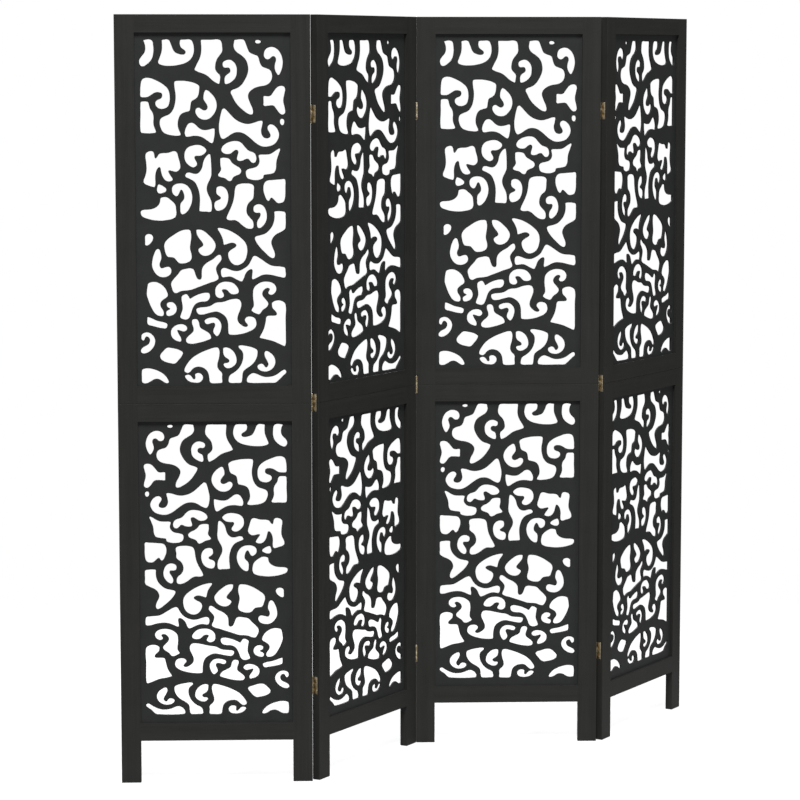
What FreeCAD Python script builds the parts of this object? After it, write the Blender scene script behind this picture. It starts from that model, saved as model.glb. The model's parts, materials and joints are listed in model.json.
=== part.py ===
import FreeCAD, Part
import functools
import math
import os

# Folding screen of four panels. Sizes are in millimetres. X runs along the folded screen,
# Y to its back and Z up. A panel is drawn flat, left edge at X 0 and mid-thickness at Y 0,
# and is then turned into its place in the zigzag.

# Boards of one panel
panel_count = 4
panel_width = 413.0
upper_height = 825.0
lower_height = 825.0
panel_thickness = 17.0
stile_width = 42.0
rail_height = 38.0
leg_height = 92.0
edge_ease = 0.7

# Fretted boards and the grooves that hold them
fret_thickness = 4.0
fret_clearance = 0.3
groove_depth = 8.0
tenon_clearance = 0.1
fret_side_border = 11.0
upper_top_border = 15.5
upper_bottom_border = 6.0
lower_top_border = 7.5
lower_bottom_border = 18.5

# The saw follows the curves of the fretwork in short straight cuts
facet_sag = 0.7
facet_turn_radians = 0.9

# Dowels across the seam between the halves
dowel_radius = 4.0
dowel_length = 60.0
dowel_inset = 22.0
dowel_clearance = 0.15

# Hinges. Pins stand behind the screen at the lines that point forward, and before it at the other.
fold_degrees = 57.0
line_sides = (1, -1, 1)
hinge_gap = 0.6
pin_offset = 0.1
leaf_height = 38.0
leaf_width = 12.0
leaf_thickness = 1.2
leaf_inset = 1.1
leaf_clearance = 0.15
barrel_radius = 2.45
barrel_clearance = 0.3
knuckle_count = 3
knuckle_gap = 0.3
pin_radius = 1.25
pin_clearance = 0.05
pin_tip = 0.5
top_hinge_drop = 209.0
bottom_hinge_rise = 208.0

# Joining plates across the seam on the two free edges
plate_height = 34.0
plate_inset = 1.0
plate_screw_spread = 26.0

# Flat-headed screws of the leaves and plates
leaf_screw_spread = 15.0
screw_length = 14.0
screw_head_radius = 2.8
screw_shank_radius = 1.6
screw_sink = 0.1
screw_clearance = 0.1

# Sizes that follow from those above
panel_height = lower_height + upper_height
half_thickness = panel_thickness / 2
groove_width = fret_thickness + 2 * fret_clearance
pane_width = panel_width - 2 * stile_width
pin_depth = half_thickness + pin_offset
hinge_heights = (panel_height - top_hinge_drop, lower_height, bottom_hinge_rise)
knuckle_length = (leaf_height - (knuckle_count - 1) * knuckle_gap) / knuckle_count
half_fold = fold_degrees / 2

# Outlines of the fretwork's openings, as curves through points read across from the left and
# down from the top of the fretted zone, in thousandths of its width and height
whole_share = 1000.0
opening_shares = {
    "top left comma": (
        (36, 0), (82, 0), (92, 6), (97, 28), (90, 50), (70, 63), (28, 76), (6, 74), (-3, 62), (5, 52),
        (30, 39), (40, 25), (31, 5)),
    "top fork": (
        (164, -0.5), (199, -0.5), (208, 3), (236, 31), (258, 38.5), (290, 42), (311, 40), (315, 33),
        (290, 24), (277, 13), (280, 1), (292, -0.7), (350, -0.5), (363, 4), (375, 27), (358, 52),
        (320, 65.5), (270, 72), (205, 75), (145, 71.5), (128, 66), (131, 58), (149, 38), (155, 18),
        (154, 4)),
    "top drop": (
        (430, -0.5), (490, -0.5), (545, -0.5), (560, 3), (569, 25), (563, 38), (538, 51), (521, 72),
        (526, 90), (549, 100), (552, 104), (548, 125), (541, 127), (500, 117), (470, 105.5), (440, 98),
        (383, 88.5), (377.5, 84), (404, 61), (424, 30), (421, 3)),
    "top branch": (
        (662, -0.5), (715, -0.5), (724, 4.5), (745, 27), (762, 37.5), (808, 45.5), (815, 49.5), (831, 70),
        (848, 78), (880, 83), (900, 89), (910, 105), (899, 120), (870, 130), (820, 134.5), (780, 141),
        (750, 153), (746, 168), (770, 193), (778, 206), (774, 214), (760, 215.5), (740, 212.5),
        (700, 200), (660, 182), (627, 155), (624, 149), (632, 145), (665, 139.5), (700, 128.5),
        (735, 103), (745, 83), (732, 60), (705, 46.5), (665, 34.5), (648, 23), (646, 10), (651, 2)),
    "upper curl": (
        (569.5, 69), (577, 62.5), (611, 57), (640, 61), (662, 73), (668, 88), (659, 108), (637, 118.5),
        (608, 126), (588, 127), (582.5, 122), (584, 110), (592, 102), (615, 95.5), (622, 88),
        (611, 80.3), (585, 80.3), (571, 75)),
    "top dash": ((795, 3), (813, 0), (833, 4), (828, 9), (813, 10.5), (798, 9)),
    "top right crook": (
        (853, 42), (858, 33), (869, 25.5), (905, 20), (935, 23.5), (962, 34), (983, 59), (980, 77),
        (961, 99), (953, 101.5), (945, 99), (926, 78), (936, 59), (931, 50), (921, 47), (908, 48.5),
        (894, 54.5), (876, 56), (860, 52)),
    "left hook": (
        (5, 132), (10, 121), (22, 112), (55, 109), (86, 111.5), (150, 126), (190, 139), (206, 160),
        (202, 183), (186, 194.5), (155, 199), (125, 196.5), (106, 186), (114, 175), (144, 168.5),
        (152.5, 162), (149, 154), (135, 151.5), (104, 152), (60, 163.5), (36, 165), (10, 165), (3, 161),
        (3, 148)),
    "left block": (
        (7, 179), (18, 177.5), (46, 177.5), (58, 180), (70, 197.5), (90, 212), (94, 224), (94, 245),
        (108, 262), (109, 266), (101, 268.5), (56, 268.5), (12, 268.5), (3.5, 265), (3, 228), (3, 190)),
    "wide bracket": (
        (238, 121), (246, 118.5), (290, 117.7), (335, 119.5), (396, 128), (410, 136), (403, 152),
        (397, 164), (385, 169.5), (360, 175), (349, 187), (342, 203.5), (331, 206.3), (295, 211),
        (270, 222), (260.5, 243), (264, 257), (278, 270), (276, 275), (262, 276.5), (232, 276.3),
        (190, 273), (155, 265), (135, 243), (138, 230), (155, 222.5), (190, 217), (225, 202),
        (243, 176), (244, 155), (236, 127)),
    "centre curl": (
        (443, 150), (449, 145.5), (459, 144.3), (500, 158.5), (520, 171.5), (528, 186), (519, 206),
        (480, 226), (447, 230.5), (412, 227), (387, 216), (380, 206), (388, 197.5), (407, 195.6),
        (428, 201), (446, 203), (460, 199.5), (463, 191), (440, 174), (436, 166)),
    "right trunk": (
        (849, 165), (854, 161.8), (880, 162), (896, 161), (935, 140), (960, 133), (982, 132.8),
        (996, 137), (998, 148), (986, 174), (998, 200), (996, 212), (982, 215.5), (966, 214),
        (930, 195), (913, 189.5), (855, 190.3), (849.5, 187)),
    "right dot": (
        (962, 237), (965, 230), (977, 227.5), (990, 231), (992, 238), (988, 244), (978, 246.5), (966, 243)),
    "long wave": (
        (557, 210), (567, 199.5), (578, 197.5), (590, 200.5), (640, 223), (680, 235.5), (716, 241),
        (745, 242.3), (785, 238.5), (820, 233.7), (838, 233.7), (843, 237), (833, 260), (836, 271),
        (849, 281), (868, 284), (888, 282), (896, 275), (878, 259), (877, 251), (888, 245), (906, 244),
        (935, 252), (956, 272), (947, 288), (920, 302), (860, 308.7), (820, 305), (765, 287.5),
        (715, 271), (674, 266.7), (640, 269.5), (587, 283.5), (570, 286), (556, 283), (543, 262),
        (543, 238)),
    "bow tie": (
        (306, 266), (314, 254), (333, 241.5), (350, 239), (370, 241), (408, 255), (430, 259.3),
        (457, 260), (504, 255.3), (512, 258), (503, 293), (495, 298), (484, 297.5), (432, 282.5),
        (395, 278), (360, 277.3), (316, 279.3), (307, 273)),
    "left hand": (
        (34, 335), (42, 326), (68, 321), (87, 322.5), (95, 329), (102, 341.3), (110, 340.5), (125, 331),
        (148, 327), (195, 325.5), (216, 322), (232, 321), (248, 323.5), (265, 345), (275, 364),
        (270, 373.5), (255, 379.5), (238, 381), (199, 377.5), (192.5, 380), (219, 399.5), (221, 404.5),
        (211, 408), (190, 409.3), (165, 404), (142, 384), (137, 371.5), (131, 368), (121, 370),
        (104, 387), (102.5, 412), (100, 422.5), (92, 425.7), (79, 424.5), (28, 416), (19.5, 410),
        (22, 404), (38, 384), (39, 356)),
    "open ring": (
        (302, 335), (308, 321), (333, 309), (390, 303.2), (425, 306), (454, 317.5), (449, 325),
        (432, 331.5), (408, 335), (385, 335), (374, 337.5), (375, 344), (388, 354), (387, 363),
        (366, 368.2), (345, 366), (310, 351.5)),
    "tall fork": (
        (466, 331), (476, 329.8), (482, 333), (488, 378), (485, 396), (461, 418), (459, 440),
        (482, 461.5), (488, 471), (489, 490), (484, 496.8), (473, 497.5), (412, 496.7), (402, 493.5),
        (406.5, 462), (402, 442), (387, 422), (360, 407), (312, 396.5), (307.5, 392.5), (316, 384.8),
        (332, 383.7), (372, 387), (396, 385), (420, 372.5), (433, 351), (447, 340)),
    "cloud": (
        (557, 319.5), (562, 310), (593, 298), (648, 292), (690, 295.5), (722, 310), (745, 319.5),
        (785, 327), (798, 340), (796, 350), (785, 355), (765, 354.5), (748, 346), (739, 344),
        (712, 348.5), (690, 350), (669, 348.3), (664, 342), (673.5, 324), (669, 319.5), (656, 318),
        (625, 327.5), (606, 330), (575, 328)),
    "shield": (
        (549, 345), (556, 341), (600, 341.5), (617, 346), (632, 355.5), (680, 369), (694, 378),
        (683, 388), (652, 393.5), (638, 398), (627, 406), (617, 408.8), (604, 407.5), (583, 401),
        (545, 396), (534, 392.5), (535, 388), (553, 376), (548, 358)),
    "axe": (
        (814, 337), (820, 332), (870, 331.3), (900, 328.2), (950, 314.8), (959, 314), (963, 317.5),
        (945, 338), (927, 378), (915, 385.5), (862, 389.3), (849, 392), (846, 398), (833, 402.5),
        (795, 406), (757, 403.8), (732, 398), (725.5, 383), (735, 375), (792, 368), (811, 360.5),
        (820, 350), (816, 342)),
    "wedge": (
        (120, 418.7), (131, 418), (169, 427), (177, 432.5), (172, 438.5), (137, 444), (121, 443), (111, 433)),
    "cane": (
        (214.5, 435), (220, 424), (242, 416.8), (280, 414.8), (320, 421), (350, 441), (352, 469),
        (325, 494), (301, 503.3), (286, 505), (275, 502), (271.5, 482), (278, 470), (294, 463),
        (298.5, 452), (284, 434.5), (274, 435), (257, 449.5), (241, 452), (220, 444)),
    "boat": (
        (134, 461), (143, 456), (175, 454.7), (190, 457.5), (232, 473.5), (242, 483), (243, 497),
        (241, 510), (230, 515.5), (195, 520.5), (140, 523.5), (85, 521.5), (12, 512), (0, 505),
        (-2, 498.5), (7, 493), (60, 490.3), (100, 485), (125, 475)),
    "ear": (
        (520.5, 433), (528, 425.5), (557, 423.3), (590, 432.5), (604, 454), (594, 476), (570, 489.5),
        (526, 494.8), (510, 488), (508, 472), (525, 464.8), (546, 460.8), (550, 456), (526, 447.3),
        (520.5, 439)),
    "sail": (
        (650, 430), (662, 420.5), (700, 415.3), (760, 416.7), (779, 422), (781, 433), (777, 445),
        (778, 456), (768, 462), (743, 473), (729, 492), (740, 509.5), (765, 520), (776, 532),
        (775.5, 542), (767, 547), (750, 547.5), (725, 545.2), (660, 525), (645, 522.3), (615, 522.8),
        (594, 520), (589.5, 515.5), (617, 489), (637, 465)),
    "right tooth": (
        (845, 432), (849, 420), (860, 410), (895, 405.5), (945, 405), (985, 402.3), (996, 404.5),
        (998, 420), (997, 450), (984, 469), (962, 472.7), (938, 471.3), (900, 457.3), (886, 465),
        (877, 466), (867, 462.5)),
    "small hook": (
        (775.5, 489.5), (781, 481.5), (810, 475.5), (848, 482.5), (869, 508), (858, 530), (826, 544.5),
        (811, 545.5), (802.5, 541.5), (802, 526), (820, 512.5), (824.5, 505.5), (820, 501.5),
        (792, 500.8), (778, 496)),
    "right leg": (
        (920, 500), (928, 496.5), (985, 497.5), (997, 501), (998, 520), (998, 541), (991, 549.8),
        (930, 565), (905, 578.5), (900, 592), (918, 611), (923.5, 622), (920, 631), (908, 634),
        (890, 630), (850, 615.5), (812, 598), (785, 577), (791, 570), (845, 563.5), (890, 548.5),
        (916, 527)),
    "left bean": (
        (26, 577), (32, 565.5), (54, 561.8), (76, 565.5), (83, 574), (71, 586), (53, 593.5), (36, 596),
        (26, 592.5)),
    "left foot": (
        (88, 620), (106, 607), (115, 605.5), (125, 607.5), (138, 625), (138, 634), (126, 649),
        (131, 659), (139, 661.7), (178, 657.8), (198, 660), (207, 669), (195, 682), (146, 688.7),
        (105, 681.5), (77, 663), (73, 647)),
    "left shield": (
        (337, 551), (325, 549.5), (300, 549.8), (270, 553.5), (190, 575), (163, 587.5), (158, 602),
        (170, 619.5), (180, 628), (215, 630.8), (232, 634.5), (252, 645), (275, 648.7), (310, 646.8),
        (342, 638.5), (347, 622), (337, 602), (344, 583), (346, 566)),
    "half moon": (
        (380.5, 554), (385, 549.7), (414, 550.3), (440, 555.5), (498, 580), (514, 597), (498, 614),
        (475, 622.5), (450, 626.2), (415, 623.5), (394, 611), (399, 604.5), (425, 596.5), (421, 587.5),
        (386, 566)),
    "great moon": (
        (528, 548), (534, 544.5), (590, 549), (630, 556.5), (706, 580.5), (732, 603), (727, 628),
        (705, 645.5), (658, 654), (620, 646), (600, 627), (607, 613), (648, 601), (656, 595.5),
        (648, 591), (615, 588.8), (572, 594.3), (567.5, 589), (552, 566)),
    "leaping form": (
        (538, 623), (549, 625.5), (554, 635), (548, 641.5), (522, 656), (517, 669), (532, 690),
        (530, 694.5), (515, 698.8), (405, 715), (355, 724.5), (325, 726.5), (270, 729.8), (243, 735),
        (222, 733), (205, 714), (207, 702), (245, 684), (266, 671), (290, 665.3), (325, 663.3),
        (353, 663.7), (363, 668), (384, 691), (400, 695.3), (412, 692.5), (416, 668), (430, 655.5),
        (455, 645), (490, 637), (525, 625)),
    "pennant": (
        (548.5, 671), (556, 664), (578, 661.5), (612, 667), (645, 670.3), (675, 669.7), (705, 664),
        (740, 652.5), (768, 631), (777, 626.8), (789, 626.8), (866, 647), (900, 654.8), (978, 659),
        (994, 663), (996.5, 675), (996, 687), (986, 690.8), (940, 686.5), (870, 681.5), (830, 684),
        (776, 695), (766, 695), (763, 690.5), (767, 672), (764, 667), (755, 666), (722, 677.5),
        (700, 699), (687, 701.5), (628, 689.5), (598, 687.3), (565, 689.3), (553, 686)),
    "left pear": (
        (41, 713), (52, 705), (90, 701.8), (118, 705), (160, 719), (180, 738), (177, 745.5), (141, 757),
        (129, 771), (149, 787), (152, 796), (145, 801.7), (120, 802), (86, 792.5), (45, 755.5), (34, 735)),
    "left curl": (
        (172, 770), (177, 764), (203, 761), (230, 767), (241.5, 780), (232, 793.5), (200, 801.5),
        (176, 801.8), (168.5, 797), (171, 788), (191, 783.3), (194, 780.3), (179, 777)),
    "slant bar": (
        (37, 809), (42, 805), (100, 815), (162, 821.8), (176, 827), (171, 836), (161, 839), (95, 833.3),
        (46, 828.5), (37.5, 824)),
    "branch foot": (
        (274, 750), (279, 743.5), (301, 738.3), (318, 740.3), (333, 750.8), (341, 750), (362, 744.5),
        (400, 737.5), (440, 734.3), (463, 735), (472, 742), (461, 756), (436, 760.3), (400, 761.7),
        (361, 773), (334, 802), (321, 810.5), (304, 813), (270, 809), (265, 804), (280, 784), (280, 770)),
    "snail": (
        (508, 733), (514, 718), (543, 705.5), (585, 701.8), (630, 705.5), (658, 716), (672, 730),
        (663, 737), (637, 739.2), (615, 737.5), (586, 726), (568, 724.5), (556, 727), (566, 738),
        (569, 744), (558, 748.8), (535, 750), (512, 743)),
    "great scroll": (
        (377, 788), (382, 780), (415, 777), (450, 775.5), (480, 771.3), (510, 763.8), (560, 761.2),
        (610, 754.2), (640, 753), (670, 753.5), (683, 758.5), (689, 772), (672, 793.5), (662, 808),
        (670, 821.5), (710, 833.8), (726, 833.8), (732, 829.5), (714, 818.5), (714, 811), (728, 805.5),
        (750, 804.3), (780, 809), (793, 825), (780, 839), (725, 851.5), (675, 856.8), (610, 857.7),
        (599, 854.5), (596, 830), (575, 804), (525, 790.8), (495, 790.8), (412, 798.5), (390, 797)),
    "centre hook": (
        (433, 819), (440, 812.5), (480, 807), (515, 808.5), (544, 821), (549, 838), (532, 857.5),
        (518, 862), (504, 858), (492, 846.5), (505, 831), (502, 825), (490, 822.6), (455, 826.8),
        (439, 824.3)),
    "swan": (
        (769.5, 735), (780, 718.5), (815, 706), (860, 701.8), (910, 707), (932, 721.5), (920, 736),
        (897, 741), (880, 738.8), (876, 732.5), (885.5, 725.3), (880, 721.8), (862, 721.7), (838, 732),
        (837, 742.5), (869, 760), (876, 767.5), (868, 775.5), (838, 785.5), (820, 795), (808, 798),
        (766, 790.3), (759, 785.5), (772, 775.5), (773, 763), (769.5, 748)),
    "right bell": (
        (900.5, 771), (907, 762), (945, 756.9), (975, 760), (994, 767.5), (996.5, 790), (996.5, 860),
        (994, 888), (986, 891.8), (940, 883), (895, 876.2), (820, 868.5), (814.5, 865), (843, 841),
        (861, 808), (871, 802.8), (922, 801.4), (932.5, 799), (931, 793), (903, 778.5)),
    "left ring": (
        (-6, 864), (2, 854.5), (28, 850), (55, 852), (83, 864), (90, 880), (68, 899.5), (45, 907.5),
        (18, 912), (-4, 910.5), (-10, 904), (5, 894), (40, 885.5), (53, 874), (45, 865.3), (28, 862.8),
        (18, 869.5), (10, 874.3), (-3, 871.5)),
    "left spiral": (
        (199, 852), (208, 839), (242, 827.8), (270, 826.5), (296, 828.5), (313, 838), (303, 845.8),
        (280, 847.7), (248, 843.5), (244, 846.5), (266, 863), (271, 872), (268, 876.7), (259, 877.8),
        (220, 871), (202, 861)),
    "boot": (
        (344.5, 819), (351, 813), (366, 811), (382, 812.5), (395, 822), (405, 836.5), (456, 850),
        (476, 861.5), (476, 869), (440, 874), (404, 880), (360, 883.5), (325, 883.7), (307, 879.5),
        (306, 868.5), (348, 850.5), (356, 840)),
    "lozenge": (
        (122.5, 921), (128, 914), (168, 896.5), (190, 895), (270, 905), (281, 909.5), (279, 915.5),
        (236, 939), (213, 942.8), (150, 934.8), (127, 928)),
    "left arch": (
        (-5, 965), (5, 958), (50, 955.8), (85, 959.5), (150, 974), (182, 995.5), (178, 999.3),
        (158, 999.5), (128, 991), (98, 987.2), (72, 990.3), (36, 999.3), (6, 999.3), (-4, 996)),
    "small snail": (
        (294.5, 979), (306, 975.5), (330, 976.3), (346, 984), (356, 988.3), (365, 986), (364, 975.5),
        (372, 971.3), (395, 970.3), (418, 979), (416, 989.5), (395, 998), (350, 998.3), (313, 992.3)),
    "great wave": (
        (290, 961), (305, 946.5), (352, 923), (395, 912.8), (450, 902), (500, 895.5), (520, 895),
        (531, 899), (535, 918), (520.5, 947), (528, 959), (552, 971), (552, 984), (554, 997), (545, 1000),
        (476, 1000), (465.5, 996), (459, 977), (440, 961), (405, 953), (380, 952.3), (355, 956),
        (325, 968.8), (304, 969.4), (292, 966)),
    "bottom curl": (
        (559.5, 903), (564, 896.5), (591, 895.5), (635, 908.5), (653.5, 930), (645, 945.5), (600, 956.8),
        (572, 953.5), (562, 945), (572, 941.3), (595, 939.5), (601, 933), (568, 921)),
    "bottom sail": (
        (667, 895), (672, 889.8), (720, 890.7), (789, 900), (799, 906.5), (795, 923), (765, 944.5),
        (710, 962), (697, 970.5), (690, 994), (682, 999.6), (650, 1000.2), (612, 1000), (598, 997),
        (603, 979.5), (622, 972), (655, 962.5), (690, 940), (699, 921), (690, 906)),
    "right snail": (
        (797.5, 953.5), (803, 947), (825, 943.3), (840, 945.8), (856, 954), (869, 950.5), (873, 943.5),
        (851, 924), (849, 909), (858, 905.8), (870, 906.8), (905, 917.5), (923, 937), (908, 955.5),
        (865, 966.5), (824, 964.8), (803, 959)),
    "right wave": (
        (723, 994), (729, 983), (757, 972), (785, 972), (830, 980.3), (880, 982), (930, 975.5),
        (974, 962.8), (986, 961), (996, 964), (997.5, 970.5), (968, 981.8), (945, 992), (930, 998.3),
        (912, 1000), (850, 1000.3), (742, 1000), (726, 997.5)),
}


def block(x_ends, y_ends, z_ends):
    """A box between two values on each axis, in either order."""
    low = FreeCAD.Vector(min(x_ends), min(y_ends), min(z_ends))
    high = FreeCAD.Vector(max(x_ends), max(y_ends), max(z_ends))
    size = high - low
    return Part.makeBox(size.x, size.y, size.z, low)


def eased_board(x_ends, z_ends, joint_x, joint_z, hinge_corner):
    """A planed board, eased along its free edges and left square where it meets another piece."""
    board = block(x_ends, (-half_thickness, half_thickness), z_ends)
    free_edges = []
    for edge in board.Edges:
        centre = edge.CenterOfMass
        joined = [abs(centre.x - x) < edge_ease for x in joint_x]
        joined += [abs(centre.z - z) < edge_ease for z in joint_z]
        if hinge_corner:
            across, deep = hinge_corner
            joined.append(abs(centre.x - across) + abs(centre.y - deep) < edge_ease)
        if not any(joined):
            free_edges.append(edge)
    return board.makeChamfer(edge_ease, free_edges)


def groove(x_ends, z_ends):
    return block(x_ends, (-groove_width / 2, groove_width / 2), z_ends)


def opening_wire(shares, left, top, width, height, mirrored):
    """One closed curve of the fretwork, drawn in the zone with this left top corner."""
    points = []
    for across, down in shares:
        across_share = across / whole_share
        if mirrored:
            across_share = 1 - across_share
        down_share = down / whole_share
        points.append(FreeCAD.Vector(left + across_share * width, 0, top - down_share * height))
    parameters = [0.0]
    for here, there in zip(points, points[1:] + points[:1]):
        parameters.append(parameters[-1] + math.sqrt(here.distanceToPoint(there)))
    curve = Part.BSplineCurve()
    curve.interpolate(Points=points, PeriodicFlag=True, Parameters=parameters)
    cuts = curve.toShape().discretize(Angular=facet_turn_radians, Curvature=facet_sag, Minimum=2)
    return Part.makePolygon(cuts[:-1] + cuts[:1])


@functools.lru_cache
def fret(pane_bottom, pane_top, bottom_border, top_border, mirrored):
    """The fretted board: one face with all its openings, pulled to the board's thickness."""
    reach = groove_depth - fret_clearance
    left = stile_width - reach
    right = panel_width - stile_width + reach
    low = pane_bottom - reach
    high = pane_top + reach
    corners = ((left, low), (right, low), (right, high), (left, high), (left, low))
    wires = [Part.makePolygon([FreeCAD.Vector(x, 0, z) for x, z in corners])]
    zone_left = stile_width + fret_side_border
    zone_width = pane_width - 2 * fret_side_border
    zone_top = pane_top - top_border
    zone_height = zone_top - pane_bottom - bottom_border
    for shares in opening_shares.values():
        wires.append(opening_wire(shares, zone_left, zone_top, zone_width, zone_height, mirrored))
    face = Part.makeFace(wires, "Part::FaceMakerBullseye")
    face.translate(FreeCAD.Vector(0, -fret_thickness / 2, 0))
    return face.extrude(FreeCAD.Vector(0, fret_thickness, 0))


def rail(bottom, groove_above):
    """A rail between the stiles, with a groove for the fret and a stub tenon at each end."""
    top = bottom + rail_height
    left = stile_width
    right = panel_width - stile_width
    pane_edge = top if groove_above else bottom
    board = eased_board((left, right), (bottom, top), (left, right), (pane_edge,), None)
    if groove_above:
        tenon_ends = (bottom, top - groove_depth)
        groove_ends = (top - groove_depth, top)
    else:
        tenon_ends = (bottom + groove_depth, top)
        groove_ends = (bottom, bottom + groove_depth)
    reach = groove_depth - fret_clearance
    tenon_half = groove_width / 2 - tenon_clearance
    tongue = block((left - reach, right + reach), (-tenon_half, tenon_half), tenon_ends)
    return board.fuse(tongue).removeSplitter().cut(groove((left, right), groove_ends))


def stile(edge, inward, side, z_ends, groove_ends, fittings):
    """A stile on the panel's edge at X = edge, with its groove, dowel hole and let-in fittings."""
    inner = edge + inward * stile_width
    hinge_corner = (edge, side * half_thickness) if side else None
    board = eased_board((edge, inner), z_ends, (inner,), (), hinge_corner)
    cuts = [groove((inner - inward * groove_depth, inner), groove_ends)]
    hole_half = dowel_length / 2 + dowel_clearance
    hole_base = FreeCAD.Vector(edge + inward * dowel_inset, 0, lower_height - hole_half)
    cuts.append(Part.makeCylinder(dowel_radius + dowel_clearance, 2 * hole_half, hole_base))
    for fitting in fittings:
        cuts.append(fitting)
    return board.cut(Part.makeCompound(cuts)).removeSplitter()


def screw_places(centre_z, spread):
    return (centre_z - spread / 2, centre_z + spread / 2)


def turned(radii_and_depths, head, inward):
    """A turned solid whose axis runs along X from the point head, into the wood."""
    points = [FreeCAD.Vector(head.x + inward * depth, head.y + radius, head.z)
              for radius, depth in radii_and_depths]
    outline = Part.makePolygon(points + points[:1])
    return Part.Face(outline).revolve(head, FreeCAD.Vector(1, 0, 0), 360)


def screw(face_x, inward, y, z):
    """A screw whose head lies in the metal, a little under the face at X = face_x."""
    profile = (
        (0, screw_sink), (screw_head_radius, screw_sink), (screw_head_radius, leaf_thickness),
        (screw_shank_radius, leaf_thickness), (screw_shank_radius, screw_length), (0, screw_length))
    return turned(profile, FreeCAD.Vector(face_x, y, z), inward)


def screw_hole(face_x, inward, y, z):
    """The hole of that screw through the metal and into the wood."""
    head = screw_head_radius + screw_clearance
    shank = screw_shank_radius + screw_clearance
    end = screw_length + screw_clearance
    profile = (
        (0, 0), (head, 0), (head, leaf_thickness), (shank, leaf_thickness), (shank, end), (0, end))
    return turned(profile, FreeCAD.Vector(face_x, y, z), inward)


def knuckle_ends(number):
    low = -leaf_height / 2 + number * (knuckle_length + knuckle_gap)
    return (low, low + knuckle_length)


def barrel(radius, z_ends):
    return Part.makeCylinder(radius, z_ends[1] - z_ends[0], FreeCAD.Vector(0, 0, z_ends[0]))


def leaf(outward, side, first_knuckle):
    """A hinge leaf about its pin on the Z axis. Its panel lies against outward, and before side."""
    floor = -outward * (hinge_gap / 2 + leaf_inset)
    inner_end = -side * (pin_offset + leaf_width)
    half = leaf_height / 2
    body = block((floor, floor + outward * leaf_thickness), (inner_end, 0), (-half, half))
    for number in range(knuckle_count):
        low, high = knuckle_ends(number)
        if number % 2 == first_knuckle:
            body = body.fuse(barrel(barrel_radius, (low, high)))
        else:
            body = body.cut(barrel(barrel_radius + barrel_clearance, (low - knuckle_gap, high + knuckle_gap)))
    body = body.cut(barrel(pin_radius + pin_clearance, (-half, half)))
    for z in screw_places(0, leaf_screw_spread):
        face_x = floor + outward * leaf_thickness
        body = body.cut(screw_hole(face_x, -outward, inner_end + side * leaf_width / 2, z))
    return body.removeSplitter()


def pin():
    half = leaf_height / 2 + pin_tip
    return barrel(pin_radius, (-half, half))


def plate(edge, inward):
    """A joining plate across the seam, let into a free edge."""
    floor = edge + inward * plate_inset
    face_x = floor - inward * leaf_thickness
    z_ends = (lower_height - plate_height / 2, lower_height + plate_height / 2)
    body = block((floor, face_x), (-leaf_width / 2, leaf_width / 2), z_ends)
    for z in screw_places(lower_height, plate_screw_spread):
        body = body.cut(screw_hole(face_x, inward, 0, z))
    return body


def recess(edge, depth_in, y_ends, centre_z, height):
    """The shallow seat of a leaf or plate in the edge of a stile."""
    half = height / 2 + leaf_clearance
    return block((edge, edge + depth_in), y_ends, (centre_z - half, centre_z + half))


def barrel_seat(edge, inward, side, centre_z):
    """The hollow at the corner of a stile in which a hinge's barrel turns."""
    half = leaf_height / 2 + pin_tip + barrel_clearance
    seat = barrel(barrel_radius + barrel_clearance, (centre_z - half, centre_z + half))
    seat.translate(FreeCAD.Vector(edge - inward * hinge_gap / 2, side * pin_depth, 0))
    return seat


def edge_fittings(edge, inward, side):
    """Seats and screw holes, and the screws themselves, for one long edge of a panel."""
    cuts = []
    screws = []
    places = []
    if side == 0:
        half = leaf_width / 2 + leaf_clearance
        cuts.append(recess(edge, inward * plate_inset, (-half, half), lower_height, plate_height))
        face_x = edge + inward * (plate_inset - leaf_thickness)
        places = [(0, z) for z in screw_places(lower_height, plate_screw_spread)]
    else:
        inner_end = side * (half_thickness - leaf_width - leaf_clearance)
        for centre_z in hinge_heights:
            y_ends = (inner_end, side * half_thickness)
            leaf_seat = recess(edge, inward * leaf_inset, y_ends, centre_z, leaf_height)
            cuts.append(leaf_seat.fuse(barrel_seat(edge, inward, side, centre_z)))
        face_x = edge + inward * (leaf_inset - leaf_thickness)
        row = side * (half_thickness - leaf_width / 2)
        for centre_z in hinge_heights:
            places.extend((row, z) for z in screw_places(centre_z, leaf_screw_spread))
    for y, z in places:
        cuts.append(screw_hole(face_x, inward, y, z))
        screws.append(screw(face_x, inward, y, z))
    return cuts, screws


def panel_places():
    """Where each panel's drawing stands: its turn in degrees and the place of its left edge."""
    places = []
    start = FreeCAD.Vector(0, 0, 0)
    pins = []
    for number in range(panel_count):
        turn = FreeCAD.Rotation(FreeCAD.Vector(0, 0, 1), half_fold if number % 2 else -half_fold)
        if number:
            side = line_sides[number - 1]
            start = pins[-1] - turn.multVec(FreeCAD.Vector(-hinge_gap / 2, side * pin_depth, 0))
        places.append(FreeCAD.Placement(start, turn))
        if number < len(line_sides):
            reach = FreeCAD.Vector(panel_width + hinge_gap / 2, line_sides[number] * pin_depth, 0)
            pins.append(places[-1].multVec(reach))
    back = places[0].multVec(FreeCAD.Vector(0, half_thickness, 0))
    front = places[0].multVec(FreeCAD.Vector(panel_width, -half_thickness, 0))
    middle = FreeCAD.Vector(pins[1].x, (back.y + front.y) / 2, 0)
    centred = [FreeCAD.Placement(place.Base - middle, place.Rotation) for place in places]
    return centred, [spot - middle for spot in pins]


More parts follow.
